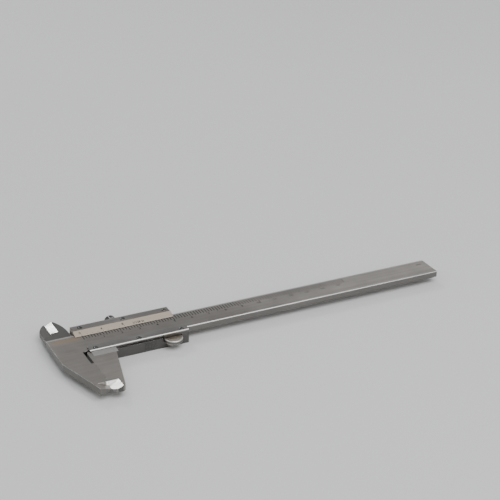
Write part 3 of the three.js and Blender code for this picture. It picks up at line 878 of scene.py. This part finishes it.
LOCK_SIDES = 108
LOCK_KNURL = 0.14 * MM
LOCK_HEAD = 4.7 * MM            # length of head and neck
LOCK_NECK_INSET = 0.9 * MM
LOCK_NECK_LENGTH = 0.75 * MM
# The head: in from its radius and up from the neck's start, then down from its end, in millimetres.
LOCK_SHOULDER = ((0.35, 0.8), (0, 1.1))
LOCK_CROWN = ((0, 0.8), (0.3, 0.45), (0.55, 0.2), (1.1, 0))
LOCK_SHANK = 1.25 * MM
LOCK_SHANK_CHAMFER = 0.15 * MM
COIN_SLOT_REACH = 5 * MM
COIN_SLOT_HALF = 0.3 * MM
COIN_SLOT_DEPTH = 0.7 * MM
COIN_SLOT_ANGLE = 0.5           # radians


def make_lock_screw():
    """The knurled lock screw, its axis along Y and its head at the rear."""
    low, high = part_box("lock_screw")
    radius = (high.x - low.x) / 2
    length = high.y - low.y
    neck = radius - LOCK_NECK_INSET
    start = length - LOCK_HEAD
    profile = [
        (0, 0),
        (LOCK_SHANK - LOCK_SHANK_CHAMFER, 0),
        (LOCK_SHANK, LOCK_SHANK_CHAMFER),
        (LOCK_SHANK, start),
        (neck, start),
        (neck, start + LOCK_NECK_LENGTH),
        *((radius - inset * MM, start + rise * MM) for inset, rise in LOCK_SHOULDER),
        *((radius - inset * MM, length - drop * MM) for inset, drop in LOCK_CROWN),
        (0, length),
    ]
    blank = mesh_from(spun(profile, LOCK_SIDES, knurl(radius, LOCK_KNURL)), "lock_blank")
    mesh = slotted(
        blank, "lock_screw_detail", COIN_SLOT_REACH, COIN_SLOT_HALF,
        length - COIN_SLOT_DEPTH, length + CUT_MARGIN, COIN_SLOT_ANGLE,
    )
    centre = (low + high) / 2
    turn = Matrix.Rotation(-math.pi / 2, 4, "X")
    mesh.transform(Matrix.Translation((centre.x, low.y, centre.z)) @ turn)
    piece = link_mesh("lock_screw_detail", mesh, "lock_screw", "screw")
    smooth_by_angle(piece)
    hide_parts("lock_screw")


ROLLER_SIDES = 180
ROLLER_KNURL = 0.1 * MM
ROLLER_BORE = 1.25 * MM
AXLE_SEAT = 2.1 * MM            # radius of the recess round the axle's head
AXLE_SEAT_DEPTH = 0.6 * MM
SEAM_DISTANCE = 0.001 * MM
# Corners, in millimetres: in from the radius and up from the bottom, in from the radius and
# down from the top, then out from the axle's seat and down from the top.
ROLLER_FOOT = ((0.6, 0), (0.2, 0.12), (0, 0.4))
ROLLER_RIM = ((0, 0.75), (0.12, 0.3), (0.38, 0.06), (0.6, 0), (0.8, 0.05))
ROLLER_COLLAR = ((0.6, 0.16), (0.3, 0.02), (0, 0.05))


def make_thumb_roller():
    """The knurled roller: a rounded rim, a slightly dished top and a recess for the axle."""
    low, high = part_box("thumb_roller")
    radius = (high.x - low.x) / 2
    thick = high.z - low.z
    seat_z = thick - AXLE_SEAT_DEPTH
    profile = [
        (ROLLER_BORE, 0),
        *((radius - inset * MM, rise * MM) for inset, rise in ROLLER_FOOT),
        *((radius - inset * MM, thick - drop * MM) for inset, drop in ROLLER_RIM),
        *((AXLE_SEAT + outset * MM, thick - drop * MM) for outset, drop in ROLLER_COLLAR),
        (AXLE_SEAT, seat_z),
        (ROLLER_BORE, seat_z),
        (ROLLER_BORE, 0),
    ]
    bm = spun(profile, ROLLER_SIDES, knurl(radius, ROLLER_KNURL))
    bmesh.ops.remove_doubles(bm, verts=bm.verts, dist=SEAM_DISTANCE)
    mesh = mesh_from(bm, "thumb_roller_detail")
    centre = (low + high) / 2
    mesh.transform(Matrix.Translation((centre.x, centre.y, low.z)))
    piece = link_mesh("thumb_roller_detail", mesh, "thumb_roller", "roller")
    smooth_by_angle(piece)
    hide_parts("thumb_roller")


RIB_COUNT = 9
RIB_PITCH = 0.8 * MM
RIB_HALF = 0.28 * MM
RIB_HEIGHT = 0.22 * MM
RIB_ROOT = 0.05 * MM
RIB_EDGE = 0.05 * MM
FIRST_RIB_X = CONTACT_X + 33.5 * MM
RIB_LOW_Z = FACE_Z - 6.2 * MM
RIB_HIGH_Z = FACE_Z - 1.9 * MM


def make_grip_ribs():
    """Fine upright ribs for the thumb on the slider's front wall."""
    bm = bmesh.new()
    for i in range(RIB_COUNT):
        x = FIRST_RIB_X + i * RIB_PITCH
        section = (
            (x - RIB_HALF, FRONT_WALL_Y + RIB_ROOT),
            (x, FRONT_WALL_Y - RIB_HEIGHT),
            (x + RIB_HALF, FRONT_WALL_Y + RIB_ROOT),
        )
        bottom = [bm.verts.new((*point, RIB_LOW_Z)) for point in section]
        top = [bm.verts.new((*point, RIB_HIGH_Z)) for point in section]
        bm.faces.new(bottom)
        bm.faces.new(top)
        for j in range(3):
            k = (j + 1) % 3
            bm.faces.new((bottom[j], bottom[k], top[k], top[j]))
    piece = link_mesh("grip_ribs", mesh_from(bm, "grip_ribs"), "slider", "screw")
    piece.modifiers.new("edges", "BEVEL").width = RIB_EDGE


# ------------------------------------------------------------------ floor
FLOOR_HALF = 4.0
FLOOR_STEPS = 8
FLOOR_Z = -0.05 * MM


def make_floor():
    """The pale plain floor, just under the caliper."""
    bm = bmesh.new()
    bmesh.ops.create_grid(bm, x_segments=FLOOR_STEPS, y_segments=FLOOR_STEPS, size=FLOOR_HALF)
    floor = bpy.data.objects.new("floor", mesh_from(bm, "floor"))
    floor.location.z = FLOOR_Z
    floor.data.materials.append(floor_material())
    bpy.context.scene.collection.objects.link(floor)


make_camera()
make_lights()
make_floor()
finish_cad_nodes()
beam_scales()
vernier_scale()
make_screws()
make_lock_screw()
make_thumb_roller()
make_grip_ribs()
